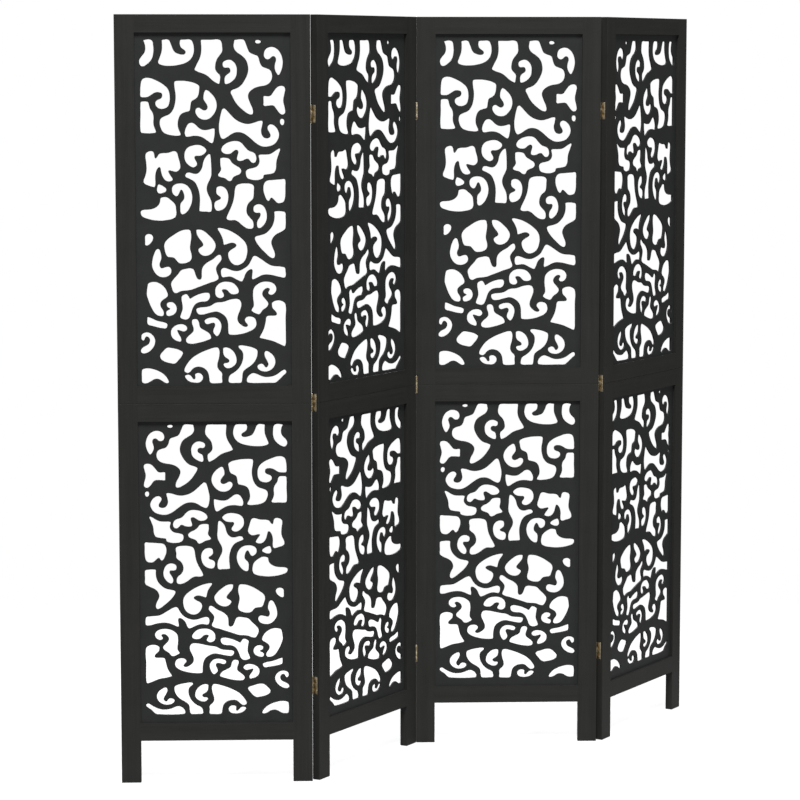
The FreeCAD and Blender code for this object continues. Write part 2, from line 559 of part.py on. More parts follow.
def panel_nodes(number):
    """All pieces that move with one panel, drawn flat, by name."""
    name = "panel_%d" % (number + 1)
    turned_round = number == panel_count - 1
    left_side = line_sides[number - 1] if number else 0
    right_side = line_sides[number] if number < len(line_sides) else 0
    upper_ends = (lower_height, panel_height)
    lower_ends = (0, lower_height)
    lower_groove_ends = (leg_height, lower_height)
    nodes = {}
    screws = []
    dowels = []
    for word, edge, inward, side in (("left", 0, 1, left_side), ("right", panel_width, -1, right_side)):
        cuts, edge_screws = edge_fittings(edge, inward, side)
        screws.extend(edge_screws)
        upper_stile = stile(edge, inward, side, upper_ends, upper_ends, cuts)
        lower_stile = stile(edge, inward, side, lower_ends, lower_groove_ends, cuts)
        nodes[name + "_upper_%s_stile" % word] = upper_stile
        nodes[name + "_lower_%s_stile" % word] = lower_stile
        base = FreeCAD.Vector(edge + inward * dowel_inset, 0, lower_height - dowel_length / 2)
        dowels.append(Part.makeCylinder(dowel_radius, dowel_length, base))
        if side == 0:
            nodes[name + "_joining_plate"] = plate(edge, inward)
    upper_low = lower_height + rail_height
    upper_high = panel_height - rail_height
    lower_low = leg_height + rail_height
    lower_high = lower_height - rail_height
    nodes[name + "_upper_top_rail"] = rail(upper_high, False)
    nodes[name + "_upper_bottom_rail"] = rail(lower_height, True)
    nodes[name + "_lower_top_rail"] = rail(lower_high, False)
    nodes[name + "_lower_bottom_rail"] = rail(leg_height, True)
    upper_fret = fret(upper_low, upper_high, upper_bottom_border, upper_top_border, turned_round)
    lower_fret = fret(lower_low, lower_high, lower_bottom_border, lower_top_border, not turned_round)
    nodes[name + "_upper_fret"] = upper_fret.copy()
    nodes[name + "_lower_fret"] = lower_fret.copy()
    nodes[name + "_dowels"] = Part.makeCompound(dowels)
    nodes[name + "_screws"] = Part.makeCompound(screws)
    if left_side:
        spot = FreeCAD.Vector(-hinge_gap / 2, left_side * pin_depth, 0)
        nodes["line_%d_right_leaves" % number] = at_hinges(leaf(-1, left_side, 1), spot)
    if right_side:
        spot = FreeCAD.Vector(panel_width + hinge_gap / 2, right_side * pin_depth, 0)
        nodes["line_%d_left_leaves" % (number + 1)] = at_hinges(leaf(1, right_side, 0), spot)
        nodes["line_%d_pins" % (number + 1)] = at_hinges(pin(), spot)
    return nodes


def at_hinges(piece, spot):
    """Copies of a hinge piece at the three heights of its line."""
    copies = []
    for height in hinge_heights:
        copy = piece.copy()
        copy.translate(spot + FreeCAD.Vector(0, 0, height))
        copies.append(copy)
    return Part.makeCompound(copies)


os.makedirs("parts", exist_ok=True)
placements, pin_spots = panel_places()
for panel_number, placement in enumerate(placements):
    for node_name, shape in panel_nodes(panel_number).items():
        shape.Placement = placement.multiply(shape.Placement)
        shape.exportStep("parts/%s.step" % node_name)
for line_number, pin_spot in enumerate(pin_spots):
    print("hinge line", line_number + 1, round(pin_spot.x, 4), round(pin_spot.y, 4))
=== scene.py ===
# %% [markdown]
# # A folding screen with scroll fretwork
# The object is a room divider: four tall panels of black painted wood on nine small brass hinges.
# Each panel is two frames, one above the other, and each frame holds a board that is sawn through
# in scrolls. The solids were made in CAD and packed as a fixed frame. This lesson keeps the solids
# that are already right, gives them finishes, and makes finer pieces for the others.

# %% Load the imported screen
import json
import math

import bmesh
import bpy
from mathutils import Matrix, Vector

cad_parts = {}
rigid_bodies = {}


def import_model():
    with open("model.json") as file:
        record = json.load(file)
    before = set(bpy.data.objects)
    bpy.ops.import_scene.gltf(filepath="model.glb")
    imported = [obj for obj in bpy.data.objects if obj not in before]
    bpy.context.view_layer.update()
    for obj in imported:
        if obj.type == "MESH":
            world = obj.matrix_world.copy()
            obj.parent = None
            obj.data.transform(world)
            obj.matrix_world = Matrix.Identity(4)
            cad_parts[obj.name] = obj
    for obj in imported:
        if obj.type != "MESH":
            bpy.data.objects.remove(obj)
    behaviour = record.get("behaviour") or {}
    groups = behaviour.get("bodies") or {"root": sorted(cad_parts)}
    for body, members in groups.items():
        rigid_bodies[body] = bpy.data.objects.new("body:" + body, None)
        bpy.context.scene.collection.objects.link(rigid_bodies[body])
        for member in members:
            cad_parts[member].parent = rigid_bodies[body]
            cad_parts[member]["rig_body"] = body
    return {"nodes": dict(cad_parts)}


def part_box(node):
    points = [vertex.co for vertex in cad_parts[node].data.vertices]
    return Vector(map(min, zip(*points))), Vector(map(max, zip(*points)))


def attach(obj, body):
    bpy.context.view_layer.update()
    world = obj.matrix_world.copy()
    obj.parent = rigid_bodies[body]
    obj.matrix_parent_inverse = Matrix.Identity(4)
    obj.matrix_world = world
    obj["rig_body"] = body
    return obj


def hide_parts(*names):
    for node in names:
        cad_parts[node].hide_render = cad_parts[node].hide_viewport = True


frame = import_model()
nodes = frame["nodes"]
scene = bpy.context.scene
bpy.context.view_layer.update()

# %% [markdown]
# ## Camera
# The picture was taken a little to the left, from about chest height, with a long lens that keeps
# the uprights nearly parallel. The place, the turn and the lens were fitted to the corners of the
# panels. The camera has no shift, because other views keep it and would be cut off by it.

# %% Camera
sensor_width = 36
focal_length = 132.29
farthest_seen = 200
camera_place = (-3.4025, -5.5704, 1.5554)
degrees_down = 6.607
degrees_right = 30.683

camera_data = bpy.data.cameras.new("portrait_camera")
camera_data.sensor_width = sensor_width
camera_data.lens = focal_length
camera_data.clip_end = farthest_seen
camera = bpy.data.objects.new("portrait_camera", camera_data)
camera.location = camera_place
camera.rotation_euler = (math.radians(90 - degrees_down), 0, math.radians(-degrees_right))
scene.collection.objects.link(camera)
scene.camera = camera
print("camera stands", round(camera.location.length, 2), "m from the screen's middle")

# %% [markdown]
# ## How the panels stand
# The screen stands in a zigzag, so each panel is turned to one side or the other. The turn could be
# typed in again here. It is measured on the boards instead, so that the finishes and the fretwork
# below follow the solids wherever they stand.

# %% Directions of each panel
panel_numbers = (1, 2, 3, 4)
levels = ("upper", "lower")


def panel_directions(number):
    """The way along a panel and the way out of its front, as level unit vectors."""
    faces = nodes[f"panel_{number}_upper_fret"].data.polygons
    normal = max(faces, key=lambda face: face.area).normal
    front = Vector((normal.x, normal.y, 0)).normalized()
    if front.y > 0:
        front = -front
    return Vector((-front.y, front.x, 0)), front


def panel_turn(number):
    along = panel_directions(number)[0]
    return math.atan2(along.y, along.x)


def panel_side(number):
    return "left" if panel_turn(number) < 0 else "right"


for number in panel_numbers:
    print("panel", number, "is turned", round(math.degrees(panel_turn(number)), 2), "degrees")

# %% [markdown]
# ## A small kit for finishes
# Every finish here is one Principled shader fed by a few noise textures. Each texture reads Object
# coordinates through a Mapping node. Of the Mapping types, Texture turns the space first and then
# divides it by the sizes, so a noise can be stretched along a board that stands at any angle, and
# its sizes can be given in metres.

# %% Helpers for finishes


def new_finish(name):
    finish = bpy.data.materials.new(name)
    finish.use_nodes = True
    tree = finish.node_tree
    return finish, tree, tree.nodes["Principled BSDF"]


def add_node(tree, kind, **settings):
    node = tree.nodes.new(kind)
    for name, value in settings.items():
        setattr(node, name, value)
    return node


def noise(tree, sizes, turn=0, detail=4, rough=0.55):
    """A noise whose blotches have these sizes in metres, in a space turned about the upright."""
    place = add_node(tree, "ShaderNodeTexCoord")
    mapping = add_node(tree, "ShaderNodeMapping", vector_type="TEXTURE")
    mapping.inputs["Rotation"].default_value = (0, 0, turn)
    mapping.inputs["Scale"].default_value = sizes
    texture = add_node(tree, "ShaderNodeTexNoise")
    texture.inputs["Scale"].default_value = 1
    texture.inputs["Detail"].default_value = detail
    texture.inputs["Roughness"].default_value = rough
    tree.links.new(place.outputs["Object"], mapping.inputs["Vector"])
    tree.links.new(mapping.outputs["Vector"], texture.inputs["Vector"])
    return texture.outputs["Fac"]


def spread(tree, value, low, high, start=0.3, end=0.7):
    """The value spread from start..end to low..high."""
    node = add_node(tree, "ShaderNodeMapRange")
    node.inputs["From Min"].default_value = start
    node.inputs["From Max"].default_value = end
    node.inputs["To Min"].default_value = low
    node.inputs["To Max"].default_value = high
    tree.links.new(value, node.inputs["Value"])
    return node.outputs["Result"]


def sum_of(tree, first, second):
    node = add_node(tree, "ShaderNodeMath", operation="ADD")
    tree.links.new(first, node.inputs[0])
    tree.links.new(second, node.inputs[1])
    return node.outputs["Value"]


def colours(tree, value, stops):
    """A colour ramp with (place, colour) stops."""
    ramp = add_node(tree, "ShaderNodeValToRGB")
    elements = ramp.color_ramp.elements
    while len(elements) < len(stops):
        elements.new(0.5)
    for element, (place, colour) in zip(elements, stops):
        element.position = place
        element.color = (*colour, 1)
    tree.links.new(value, ramp.inputs["Fac"])
    return ramp.outputs["Color"]


def bump(tree, height, depth, shader, strength=1.0):
    node = add_node(tree, "ShaderNodeBump")
    node.inputs["Strength"].default_value = strength
    node.inputs["Distance"].default_value = depth
    tree.links.new(height, node.inputs["Height"])
    tree.links.new(node.outputs["Normal"], shader.inputs["Normal"])


print("finish helpers are ready")

# %% [markdown]
# ## Black paint on wood
# The frames are light solid wood under thin black paint. Long pores and broad bands of the wood
# still show as faint streaks: upright on the stiles, level on the rails. An image could do this,
# but noises stretched along each board stay sharp at any distance. Two sizes of streak are added
# up, and a third noise without direction gives the paint its slight clouding.

# %% Finish of the frames
paint_gloss = 0.12
paint_cloud = 0.06
grain_relief = 0.00012
wood_shades = [(0.1, (0.0128, 0.0128, 0.0119)), (0.9, (0.0193, 0.0192, 0.0178))]


def black_wood(name, turn, sizes_of_pores, sizes_of_bands):
    finish, tree, shader = new_finish(name)
    pores = noise(tree, sizes_of_pores, turn, detail=5, rough=0.62)
    bands = noise(tree, sizes_of_bands, turn, detail=3)
    clouds = noise(tree, (paint_cloud,) * 3, turn, detail=3)
    streaks = sum_of(tree, spread(tree, pores, 0, 0.55), spread(tree, bands, 0, 0.45))
    tone = sum_of(tree, streaks, spread(tree, clouds, -0.12, 0.12))
    tree.links.new(colours(tree, tone, wood_shades), shader.inputs["Base Color"])
    tree.links.new(spread(tree, streaks, 0.46, 0.6, 0, 1), shader.inputs["Roughness"])
    shader.inputs["Specular IOR Level"].default_value = paint_gloss
    bump(tree, streaks, grain_relief, shader, 0.6)
    return finish


pore = (0.0011, 0.0011, 0.09)
band = (0.011, 0.011, 0.45)
upright_wood = black_wood("black_wood_upright", 0, pore, band)
level_wood = {}
for number in panel_numbers:
    side = panel_side(number)
    if side not in level_wood:
        name = "black_wood_level_" + side
        level_wood[side] = black_wood(name, panel_turn(number), pore[::-1], band[::-1])
print("wood finishes:", upright_wood.name, [finish.name for finish in level_wood.values()])

# %% [markdown]
# ## Frames and dowels
# The stiles, rails and dowels are plain boards and rods, and their solids are exact: eased edges,
# grooves for the fretwork, seats for the hinges. So they stay as they are and only get a finish.
# The dowels are raw beech. They sit inside the seam between the two frames of a panel.

# %% Dress the boards
fibre = (0.0008, 0.0008, 0.03)
fibre_relief = 0.0001
beech_shades = [(0.3, (0.36, 0.22, 0.11)), (0.7, (0.52, 0.35, 0.19))]

beech, tree, shader = new_finish("raw_beech")
fibres = noise(tree, fibre, detail=5)
tree.links.new(colours(tree, fibres, beech_shades), shader.inputs["Base Color"])
shader.inputs["Roughness"].default_value = 0.7
bump(tree, fibres, fibre_relief, shader)


def dress(node, finish):
    slots = nodes[node].data.materials
    slots.clear()
    slots.append(finish)


for number in panel_numbers:
    side = panel_side(number)
    for level in levels:
        for edge in ("left", "right"):
            dress(f"panel_{number}_{level}_{edge}_stile", upright_wood)
        for end in ("top", "bottom"):
            dress(f"panel_{number}_{level}_{end}_rail", level_wood[side])
    dress(f"panel_{number}_dowels", beech)
print("boards dressed:", sum(name.endswith(("_stile", "_rail")) for name in nodes))

# %% [markdown]
# ## Finishes of the fretwork
# The fretwork boards are fibreboard, routed and then sprayed. Their faces are smoother and a shade
# cooler than the wood, with the fine ripple that spray leaves. The cut walls soak up more paint and
# stay duller and a little furry. So there are two finishes, and each face of the mesh picks one.

# %% Finishes of face and cut
spray_cloud = 0.035
face_roughness, face_ripple, face_relief = 0.5, 0.0016, 0.00004
cut_roughness, cut_fuzz, cut_relief = 0.66, 0.0007, 0.00008
roughness_play = 0.04


def sprayed_board(name, dark, light, roughness, grain, depth):
    finish, tree, shader = new_finish(name)
    clouds = noise(tree, (spray_cloud,) * 3, detail=3)
    grit = noise(tree, (grain,) * 3, detail=3, rough=0.6)
    tone = sum_of(tree, spread(tree, clouds, 0, 0.7), spread(tree, grit, 0, 0.3))
    shades = [(0.2, dark), (0.8, light)]
    tree.links.new(colours(tree, tone, shades), shader.inputs["Base Color"])
    shiny, dull = roughness - roughness_play, roughness + roughness_play
    tree.links.new(spread(tree, clouds, shiny, dull), shader.inputs["Roughness"])
    shader.inputs["Specular IOR Level"].default_value = paint_gloss
    bump(tree, grit, depth, shader, 0.5)
    return finish


fret_face = sprayed_board("sprayed_face", (0.0152, 0.0160, 0.0158), (0.0176, 0.0185, 0.0183),
                          face_roughness, face_ripple, face_relief)
fret_cut = sprayed_board("sprayed_cut", (0.0132, 0.0136, 0.0135), (0.0190, 0.0195, 0.0193),
                         cut_roughness, cut_fuzz, cut_relief)
print("fretwork finishes:", fret_face.name, fret_cut.name)

# %% [markdown]
# ## Fretwork
# A real scroll board is routed along smooth curves. The solid has the same openings, but its walls
# are short chords, to keep the CAD light. The chords' corners lie on the true curves, so the smooth
# board can be drawn again from them, which a subdivision of the solid's thin triangles couldn't do.
# The outlines come first: an edge belongs to one where a front face meets a face that isn't one.

# %% Outlines of a fretwork board
merge_distance = 0.000002
facing_share = 0.99


def outline_loops(node, front):
    """Closed loops of points round a board's front face, and the board's front and back depth."""
    work = bmesh.new()
    work.from_mesh(nodes[node].data)
    bmesh.ops.remove_doubles(work, verts=work.verts, dist=merge_distance)
    depths = [vertex.co.dot(front) for vertex in work.verts]
    neighbours = {}
    for edge in work.edges:
        on_front = [face.normal.dot(front) > facing_share for face in edge.link_faces]
        if any(on_front) and not all(on_front):
            first, second = edge.verts
            neighbours.setdefault(first, []).append(second)
            neighbours.setdefault(second, []).append(first)
    loops = []
    while neighbours:
        vertex = next(iter(neighbours))
        loop = []
        while vertex in neighbours:
            loop.append(vertex.co.copy())
            ahead = neighbours.pop(vertex)
            vertex = next((other for other in ahead if other in neighbours), None)
        loops.append(loop)
    work.free()
    return loops, max(depths), min(depths)


def height_of(loop):
    heights = [point.z for point in loop]
    return max(heights) - min(heights)


first_front = panel_directions(1)[1]
first_loops = outline_loops("panel_1_upper_fret", first_front)[0]
print("first board has", len(first_loops), "loops")

# %% [markdown]
# The board itself could be a filled mesh with a thickness added. A flat Bezier curve does more at
# once: with automatic handles it goes smoothly through the corners of each opening, Blender fills
# the outline, and the extrusion and bevel give the board its thickness and its eased rims. The
# curve's offset takes back what the bevel adds, less the paint: the coats make every bar a little
# wider. The outer border is drawn smaller by as much.

# %% Draw one board from its outlines
rim_ease = 0.0004
paint_build = 0.0004
steps_between_points = 4


def add_opening(curve, points):
    spline = curve.splines.new("BEZIER")
    spline.bezier_points.add(len(points) - 1)
    for bezier, (across, up) in zip(spline.bezier_points, points):
        bezier.co = (across, up, 0)
        bezier.handle_left_type = bezier.handle_right_type = "AUTO"
    spline.use_cyclic_u = True
    spline.resolution_u = steps_between_points


def add_border(curve, points):
    spline = curve.splines.new("POLY")
    spline.points.add(len(points) - 1)
    for corner, (across, up) in zip(spline.points, points):
        inset = (across - math.copysign(paint_build, across), up - math.copysign(paint_build, up))
        corner.co = (*inset, 0, 1)
    spline.use_cyclic_u = True


def plain_mesh(source, name):
    """The evaluated shape of an object as a mesh of its own; the object itself is removed."""
    scene.collection.objects.link(source)
    state = bpy.context.evaluated_depsgraph_get()
    mesh = bpy.data.meshes.new_from_object(source.evaluated_get(state))
    mesh.name = name
    bpy.data.objects.remove(source)
    return mesh


def fretwork_mesh(number, level):
    along, front = panel_directions(number)
    loops, front_depth, back_depth = outline_loops(f"panel_{number}_{level}_fret", front)
    loops.sort(key=height_of, reverse=True)
    middle = sum(loops[0], Vector()) / len(loops[0])
    thickness = front_depth - back_depth
    curve = bpy.data.curves.new("outline", "CURVE")
    curve.dimensions = "2D"
    curve.fill_mode = "BOTH"
    curve.extrude = thickness / 2 - rim_ease
    curve.bevel_depth = rim_ease
    curve.bevel_resolution = 1
    curve.offset = paint_build - rim_ease
    flat_loops = []
    for loop in loops:
        flat_loops.append([((point - middle).dot(along), point.z - middle.z) for point in loop])
    add_border(curve, flat_loops[0])
    for points in flat_loops[1:]:
        add_opening(curve, points)
    mesh = plain_mesh(bpy.data.objects.new("outline", curve), f"panel_{number}_{level}_fretwork")
    centre = middle - front * (thickness / 2)
    place = Matrix((along, Vector((0, 0, 1)), front)).transposed().to_4x4()
    mesh.transform(Matrix.Translation(centre) @ place)
    return mesh, front


print("fretwork boards are drawn with rims eased by", rim_ease * 1000, "mm")

# %% [markdown]
# A sprayed board has flat faces, soft rims and smooth cut walls. Smooth shading alone would make
# the flat faces look puffy, so the edges round them are marked as sharp, and so are the corners of
# the openings. The cut walls get a finish of their own. Each board then rides on its panel and
# takes the place of its solid.

# %% Finish the boards and hang them on their panels
corner_angle = math.radians(50)
wall_share = 0.3


def finish_board(mesh, front):
    """Closes a board's shell, keeps its two faces flat and shades its rims and walls smooth."""
    work = bmesh.new()
    work.from_mesh(mesh)
    bmesh.ops.remove_doubles(work, verts=work.verts, dist=merge_distance)
    bmesh.ops.recalc_face_normals(work, faces=work.faces)
    for face in work.faces:
        face.smooth = True
        face.material_index = 1 if abs(face.normal.dot(front)) < wall_share else 0
    open_edges = 0
    for edge in work.edges:
        if not edge.is_manifold:
            open_edges += 1
            continue
        flat = [abs(face.normal.dot(front)) > facing_share for face in edge.link_faces]
        edge.smooth = flat[0] == flat[1] and edge.calc_face_angle() < corner_angle
    work.to_mesh(mesh)
    work.free()
    return open_edges


def add_piece(name, mesh, body, slot, *replaced):
    piece = bpy.data.objects.new(name, mesh)
    scene.collection.objects.link(piece)
    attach(piece, body)
    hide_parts(*replaced)


for number in panel_numbers:
    for level in levels:
        mesh, front = fretwork_mesh(number, level)
        mesh.materials.clear()
        mesh.materials.append(fret_face)
        mesh.materials.append(fret_cut)
        open_edges = finish_board(mesh, front)
        add_piece(mesh.name, mesh, f"panel_{number}", "fret_board", f"panel_{number}_{level}_fret")
        print(mesh.name, "faces:", len(mesh.polygons), "open edges:", open_edges)

# %% [markdown]
# ## Aged brass
# The hinges have a dull antique finish: pale brass that was browned and then rubbed. Two noises mix
# a brown and a pale metal, and the brown is rougher. Fine scratches along the leaf come from a
# noise that is stretched upright. A number on each point of the mesh paints light and shade into
# the
# metal: a leaf is painted darker in the hollow beside the barrel, as shade, and lighter towards its
# outer edge, as light. The screws are of a yellower brass and show as darker dots, so the same
# function makes both.

# %% Finishes of hinges and screws
patch = (0.005, 0.005, 0.007)
scratch = (0.0004, 0.0004, 0.006)
scratch_relief = 0.00002
painted_lit_tone = 0.35


def aged_brass(name, lowest_light_tone, brown, middle, pale):
    finish, tree, shader = new_finish(name)
    patches = noise(tree, patch, detail=4, rough=0.6)
    scratches = noise(tree, scratch, detail=3)
    marks = sum_of(tree, spread(tree, patches, 0, 0.75), spread(tree, scratches, 0, 0.25))
    # The number on each point paints light and shade into the metal: darker near the barrel, as
    # painted shade, and lighter at a leaf's free edge.
    painted_light = add_node(tree, "ShaderNodeAttribute", attribute_name="painted_light")
    painted_light_shift = spread(tree, painted_light.outputs["Fac"], lowest_light_tone, painted_lit_tone, 0.15, 0.9)
    marks_and_painted_light = sum_of(tree, marks, painted_light_shift)
    shades = [(0.1, brown), (0.5, middle), (0.9, pale)]
    tree.links.new(colours(tree, marks_and_painted_light, shades), shader.inputs["Base Color"])
    tree.links.new(spread(tree, marks_and_painted_light, 0.62, 0.4, 0, 1), shader.inputs["Roughness"])
    shader.inputs["Metallic"].default_value = 1
    bump(tree, scratches, scratch_relief, shader, 0.5)
    return finish


leaf_brass = aged_brass("aged_brass", -0.55,
                        (0.10, 0.064, 0.024), (0.35, 0.285, 0.175), (0.66, 0.60, 0.47))
screw_brass = aged_brass("screw_brass", -0.15,
                         (0.14, 0.088, 0.032), (0.34, 0.23, 0.09), (0.58, 0.43, 0.21))
print("brass finishes:", leaf_brass.name, screw_brass.name)

# %% [markdown]
# ## Hinges and joining plates
# A butt hinge is two leaves whose knuckles are rolled round one pin. The outer edges of the screen
# have a plate across the seam instead. The solids have these shapes with sharp edges, as a drawing
# has them. Stamped and rolled brass has soft edges, so each piece is a merged copy of its solid
# with all sharp edges bevelled and the round faces shaded smooth.

# %% Soften the brass pieces
brass_ease = 0.00015
flat_angle = math.radians(1)
sharp_angle = 0.7
shading_angle = math.radians(35)


def softened_copy(node):
    work = bmesh.new()
    work.from_mesh(nodes[node].data)
    bmesh.ops.remove_doubles(work, verts=work.verts, dist=merge_distance)
    bmesh.ops.dissolve_limit(work, angle_limit=flat_angle, verts=work.verts, edges=work.edges)
    closed = [edge for edge in work.edges if edge.is_manifold]
    sharp = [edge for edge in closed if edge.calc_face_angle() > sharp_angle]
    bmesh.ops.bevel(work, geom=sharp, offset=brass_ease, segments=2, profile=0.5, affect="EDGES",
                    clamp_overlap=True)
    bmesh.ops.triangulate(work, faces=work.faces)
    mesh = bpy.data.meshes.new(node + "_brass")
    work.to_mesh(mesh)
    work.free()
    mesh.materials.append(leaf_brass)
    for face in mesh.polygons:
        face.use_smooth = True
    mesh.set_sharp_from_angle(angle=shading_angle)
    return mesh


print("brass edges are softened by", brass_ease * 1000, "mm")

# %% [markdown]
# A leaf lies in shade by its barrel and in more light at its free edge, and this is painted into
# the metal's colour. It could be painted on by hand. Here it is worked out: the painted light grows
# with the distance from the pin, and barrels, pins and plates get one middle value. Every point
# keeps its number in the attribute that the finish reads.

# %% Mark the painted light and shade and hang the pieces on their panels
barrel_reach = 0.0027
leaf_reach = 0.0118
open_painted_light = 0.62


def mark_painted_light(mesh, line, panel):
    """Painted light grows along a leaf from its pin to its free edge, with painted shade by the
    pin. The barrel keeps its value.
    """
    low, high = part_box(f"line_{line}_pins")
    pin = Vector(((low[0] + high[0]) / 2, (low[1] + high[1]) / 2, 0))
    front = panel_directions(panel)[1]
    offsets = [Vector((vertex.co.x, vertex.co.y, 0)) - pin for vertex in mesh.vertices]
    depths = [offset.dot(front) for offset in offsets]
    side = math.copysign(1, sum(depths))
    for value, offset, depth in zip(mesh.attributes["painted_light"].data, offsets, depths):
        if offset.length > barrel_reach:
            value.value = side * depth / leaf_reach


brass_nodes = [name for name in nodes if name.endswith(("_leaves", "_pins", "_joining_plate"))]
for name in sorted(brass_nodes):
    mesh = softened_copy(name)
    # Each point gets a number of painted light: one middle value, then on leaves painted shade by
    # the pin and light at the edge.
    painted_light = mesh.attributes.new("painted_light", "FLOAT", "POINT")
    painted_light.data.foreach_set("value", [open_painted_light] * len(mesh.vertices))
    body = nodes[name]["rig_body"]
    if name.endswith("_leaves"):
        mark_painted_light(mesh, name.split("_")[1], int(body.split("_")[1]))
    add_piece(mesh.name, mesh, body, "brass", name)
    print(mesh.name, "faces:", len(mesh.polygons))

# %% [markdown]
# ## Screws
# Forty small wood screws hold the hinges and plates. They are all alike, so one Geometry Nodes tree
# makes them: a countersunk head with a cross recess, and a shank that tapers into the wood. Copying
# one mesh in a loop would also do. The tree keeps the sizes as named inputs, and turns each head by
# its own seeded angle, as a screwdriver leaves them.

# %% A tree of nodes for the screws
screw_tree = bpy.data.node_groups.new("countersunk_screws", "GeometryNodeTree")
screw_inputs = {}
first_seed = 7


def tree_input(name, kind, value=None):
    socket = screw_tree.interface.new_socket(name, in_out="INPUT", socket_type=kind)
    if value is not None:
        socket.default_value = value
    screw_inputs[name] = socket.identifier


tree_input("Places", "NodeSocketGeometry")
tree_input("Head radius", "NodeSocketFloat", 0.0028)
tree_input("Head depth", "NodeSocketFloat", 0.0014)
tree_input("Shank radius", "NodeSocketFloat", 0.0014)
tree_input("Shank length", "NodeSocketFloat", 0.0125)
tree_input("Recess length", "NodeSocketFloat", 0.0031)
tree_input("Recess width", "NodeSocketFloat", 0.0007)
tree_input("Recess depth", "NodeSocketFloat", 0.0009)
tree_input("Seed", "NodeSocketInt", first_seed)
tree_input("Finish", "NodeSocketMaterial")
screw_tree.interface.new_socket("Screws", in_out="OUTPUT", socket_type="NodeSocketGeometry")
given = add_node(screw_tree, "NodeGroupInput")
result = add_node(screw_tree, "NodeGroupOutput")
print("screw inputs:", list(screw_inputs))

# %% [markdown]
# A real screw is turned and then pressed with a cross. The tree does the same: a cone is the head,
# a Boolean takes two crossed bars out of it, and a slim cone below is the shank. The shank is
# hidden in the wood, so it has fewer sides and no thread.

# %% Head, recess and shank in the tree
head_sides = 24
shank_sides = 12
tip_share = 0.25


def join(output, target):
    screw_tree.links.new(output, target)


def negative(value):
    node = add_node(screw_tree, "ShaderNodeMath", operation="MULTIPLY")
    node.inputs[1].default_value = -1
    join(value, node.inputs[0])
    return node.outputs["Value"]


def vector_of(x=None, y=None, z=None):
    node = add_node(screw_tree, "ShaderNodeCombineXYZ")
    for name, value in zip("XYZ", (x, y, z)):
        if value is not None:
            join(value, node.inputs[name])
    return node.outputs["Vector"]


def moved(geometry, offset):
    node = add_node(screw_tree, "GeometryNodeTransform")
    join(geometry, node.inputs["Geometry"])
    join(offset, node.inputs["Translation"])
    return node.outputs["Geometry"]


def cone(low_radius, high_radius, depth, sides):
    node = add_node(screw_tree, "GeometryNodeMeshCone")
    node.inputs["Vertices"].default_value = sides
    join(high_radius, node.inputs["Radius Top"])
    join(low_radius, node.inputs["Radius Bottom"])
    join(depth, node.inputs["Depth"])
    return node.outputs["Mesh"]


def slot_box(x, y, z):
    node = add_node(screw_tree, "GeometryNodeMeshCube")
    join(vector_of(x, y, z), node.inputs["Size"])
    return node.outputs["Mesh"]


sizes = given.outputs
head_cone = cone(sizes["Shank radius"], sizes["Head radius"], sizes["Head depth"], head_sides)
head = moved(head_cone, vector_of(z=negative(sizes["Head depth"])))
twice_deep = sum_of(screw_tree, sizes["Recess depth"], sizes["Recess depth"])
cut = add_node(screw_tree, "GeometryNodeMeshBoolean", operation="DIFFERENCE")
join(head, cut.inputs["Mesh 1"])
join(slot_box(sizes["Recess length"], sizes["Recess width"], twice_deep), cut.inputs["Mesh 2"])
join(slot_box(sizes["Recess width"], sizes["Recess length"], twice_deep), cut.inputs["Mesh 2"])
tip_radius = add_node(screw_tree, "ShaderNodeMath", operation="MULTIPLY")
tip_radius.inputs[1].default_value = tip_share
join(sizes["Shank radius"], tip_radius.inputs[0])
screw_depth = sum_of(screw_tree, sizes["Shank length"], sizes["Head depth"])
shank_cone = cone(tip_radius.outputs["Value"], sizes["Shank radius"], sizes["Shank length"],
                  shank_sides)
shank = moved(shank_cone, vector_of(z=negative(screw_depth)))
whole = add_node(screw_tree, "GeometryNodeJoinGeometry")
join(shank, whole.inputs["Geometry"])
join(cut.outputs["Mesh"], whole.inputs["Geometry"])
print("one screw is made of", len(screw_tree.nodes), "nodes so far")

# %% [markdown]
# Each screw goes in along its own axis, and its cross stops at any angle. So every place carries an
# axis as an attribute: the screw is first aligned with it and then turned about it by a random
# angle. At the end the copies become real mesh and get their finish.

# %% Set a screw at every place
axis = add_node(screw_tree, "GeometryNodeInputNamedAttribute", data_type="FLOAT_VECTOR")
axis.inputs["Name"].default_value = "screw_axis"
aligned = add_node(screw_tree, "FunctionNodeAlignRotationToVector", axis="Z")
join(axis.outputs["Attribute"], aligned.inputs["Vector"])
angle = add_node(screw_tree, "FunctionNodeRandomValue", data_type="FLOAT")
angle.inputs["Min"].default_value = 0
angle.inputs["Max"].default_value = math.pi / 2
join(sizes["Seed"], angle.inputs["Seed"])
about = add_node(screw_tree, "FunctionNodeAxisAngleToRotation")
about.inputs["Axis"].default_value = (0, 0, 1)
join(angle.outputs["Value"], about.inputs["Angle"])
turned = add_node(screw_tree, "FunctionNodeRotateRotation", rotation_space="LOCAL")
join(aligned.outputs["Rotation"], turned.inputs["Rotation"])
join(about.outputs["Rotation"], turned.inputs["Rotate By"])
copies = add_node(screw_tree, "GeometryNodeInstanceOnPoints")
join(sizes["Places"], copies.inputs["Points"])
join(whole.outputs["Geometry"], copies.inputs["Instance"])
join(turned.outputs["Rotation"], copies.inputs["Rotation"])
real = add_node(screw_tree, "GeometryNodeRealizeInstances")
join(copies.outputs["Instances"], real.inputs["Geometry"])
painted = add_node(screw_tree, "GeometryNodeSetMaterial")
join(real.outputs["Geometry"], painted.inputs["Geometry"])
join(sizes["Finish"], painted.inputs["Material"])
join(painted.outputs["Geometry"], result.inputs["Screws"])
print("screw tree has", len(screw_tree.nodes), "nodes")

# %% [markdown]
# The places could be typed in from the CAD. They are taken from the screws' own solids instead, so
# that they can't disagree. Each solid is one loose part of its node. Its wide end is the head, and
# the middle of the outer face is where the new head sits.

# %% Find the screws' places
head_share = 0.75


